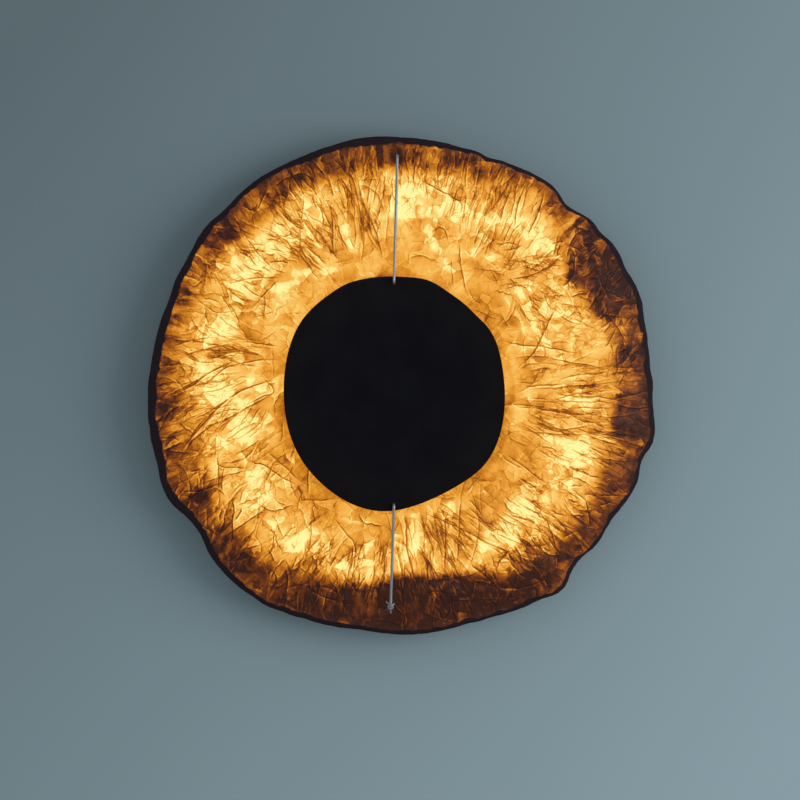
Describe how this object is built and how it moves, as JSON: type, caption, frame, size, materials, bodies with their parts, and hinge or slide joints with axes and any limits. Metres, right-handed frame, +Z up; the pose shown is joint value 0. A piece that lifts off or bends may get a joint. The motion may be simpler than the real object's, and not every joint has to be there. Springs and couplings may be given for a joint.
{
  "type": "wall lamp",
  "caption": "Backlit wall lamp: a crumpled translucent amber shade on a hidden frame, with an opaque black disc held in front by two thin steel wires.",
  "frame": {"origin": "centre of the wall plate's screw circle, on the wall plane, which is also the reflector pan's axis", "axes": "+Z up; the lamp faces -Y and the wall is at Y = 0, so +Y points into the wall; +X is to the right seen from the front"},
  "size_m": [0.4532, 0.0821, 0.4442],
  "materials": {
    "amber_skin": "crumpled, varnished, translucent",
    "rim_dark": "varnished dark hem",
    "disc_black": "matt black, hand cut",
    "wire_steel": "drawn stainless wire",
    "frame_steel": "dark primer",
    "frame_white": "matt white",
    "liner_black": "black board",
    "white_enamel": "satin white",
    "zinc_plate": "zinc plated",
    "bright_steel": "bright zinc",
    "magnet_nickel": "nickel plated",
    "brass": "turned",
    "rubber": "moulded",
    "board_white": "white solder mask",
    "led_phosphor": "phosphor window",
    "driver_case": "moulded, grained",
    "terminal_plastic": "moulded",
    "lead_white": "silicone sleeve",
    "lead_brown": "insulated",
    "lead_green": "insulated, green and yellow"
  },
  "bodies": {
    "base": {"wall_plate": "zinc_plate", "cable_grommet": "rubber", "standoffs": "bright_steel", "pan_screws": "bright_steel", "back_pan": "white_enamel", "pan_wall": "white_enamel", "board_screws": "bright_steel", "link_leads": "lead_white", "driver": "driver_case", "driver_screws": "bright_steel", "terminal_block": "terminal_plastic", "terminal_screws": "brass", "earth_stud": "brass", "earth_nuts": "brass", "driver_leads": "lead_brown", "earth_lead": "lead_green", "gear_cover": "white_enamel", "cover_screws": "bright_steel", "magnet_brackets": "zinc_plate", "magnets": "magnet_nickel", "magnet_screws": "bright_steel", "led_board_1": "board_white", "led_board_2": "board_white", "led_board_3": "board_white", "led_board_4": "board_white", "led_chips_1": "led_phosphor", "led_chips_2": "led_phosphor", "led_chips_3": "led_phosphor", "led_chips_4": "led_phosphor"},
    "shade": {"rim_hoop": "frame_steel", "rim_binding": "rim_dark", "back_liner": "liner_black", "liner_posts": "bright_steel", "liner_screws": "bright_steel", "shoulder_hoop": "frame_white", "inner_hoop": "frame_white", "shade_skin": "amber_skin", "strike_pads": "zinc_plate", "upper_anchor": "bright_steel", "lower_anchor": "bright_steel", "anchor_screws": "bright_steel", "lower_clamp": "wire_steel", "upper_wire": "wire_steel", "lower_wire": "wire_steel", "frame_arm_1": "frame_steel", "frame_arm_2": "frame_steel", "frame_arm_3": "frame_steel", "frame_arm_4": "frame_steel", "frame_arm_5": "frame_steel", "frame_arm_6": "frame_steel", "frame_arm_7": "frame_steel", "frame_arm_8": "frame_steel"},
    "disc": {"centre_disc": "disc_black"}
  },
  "joints": [
    {"name": "shade_pull_off", "type": "slide", "parent": "base", "child": "shade", "axis": [0, -1, 0], "range_m": [0, 0.06]},
    {"name": "disc_swivel", "type": "hinge", "parent": "shade", "child": "disc", "pos_m": [-0.0035, -0.077, -0.014], "axis": [0, 0, 1], "range_deg": [-5, 5]}
  ]
}
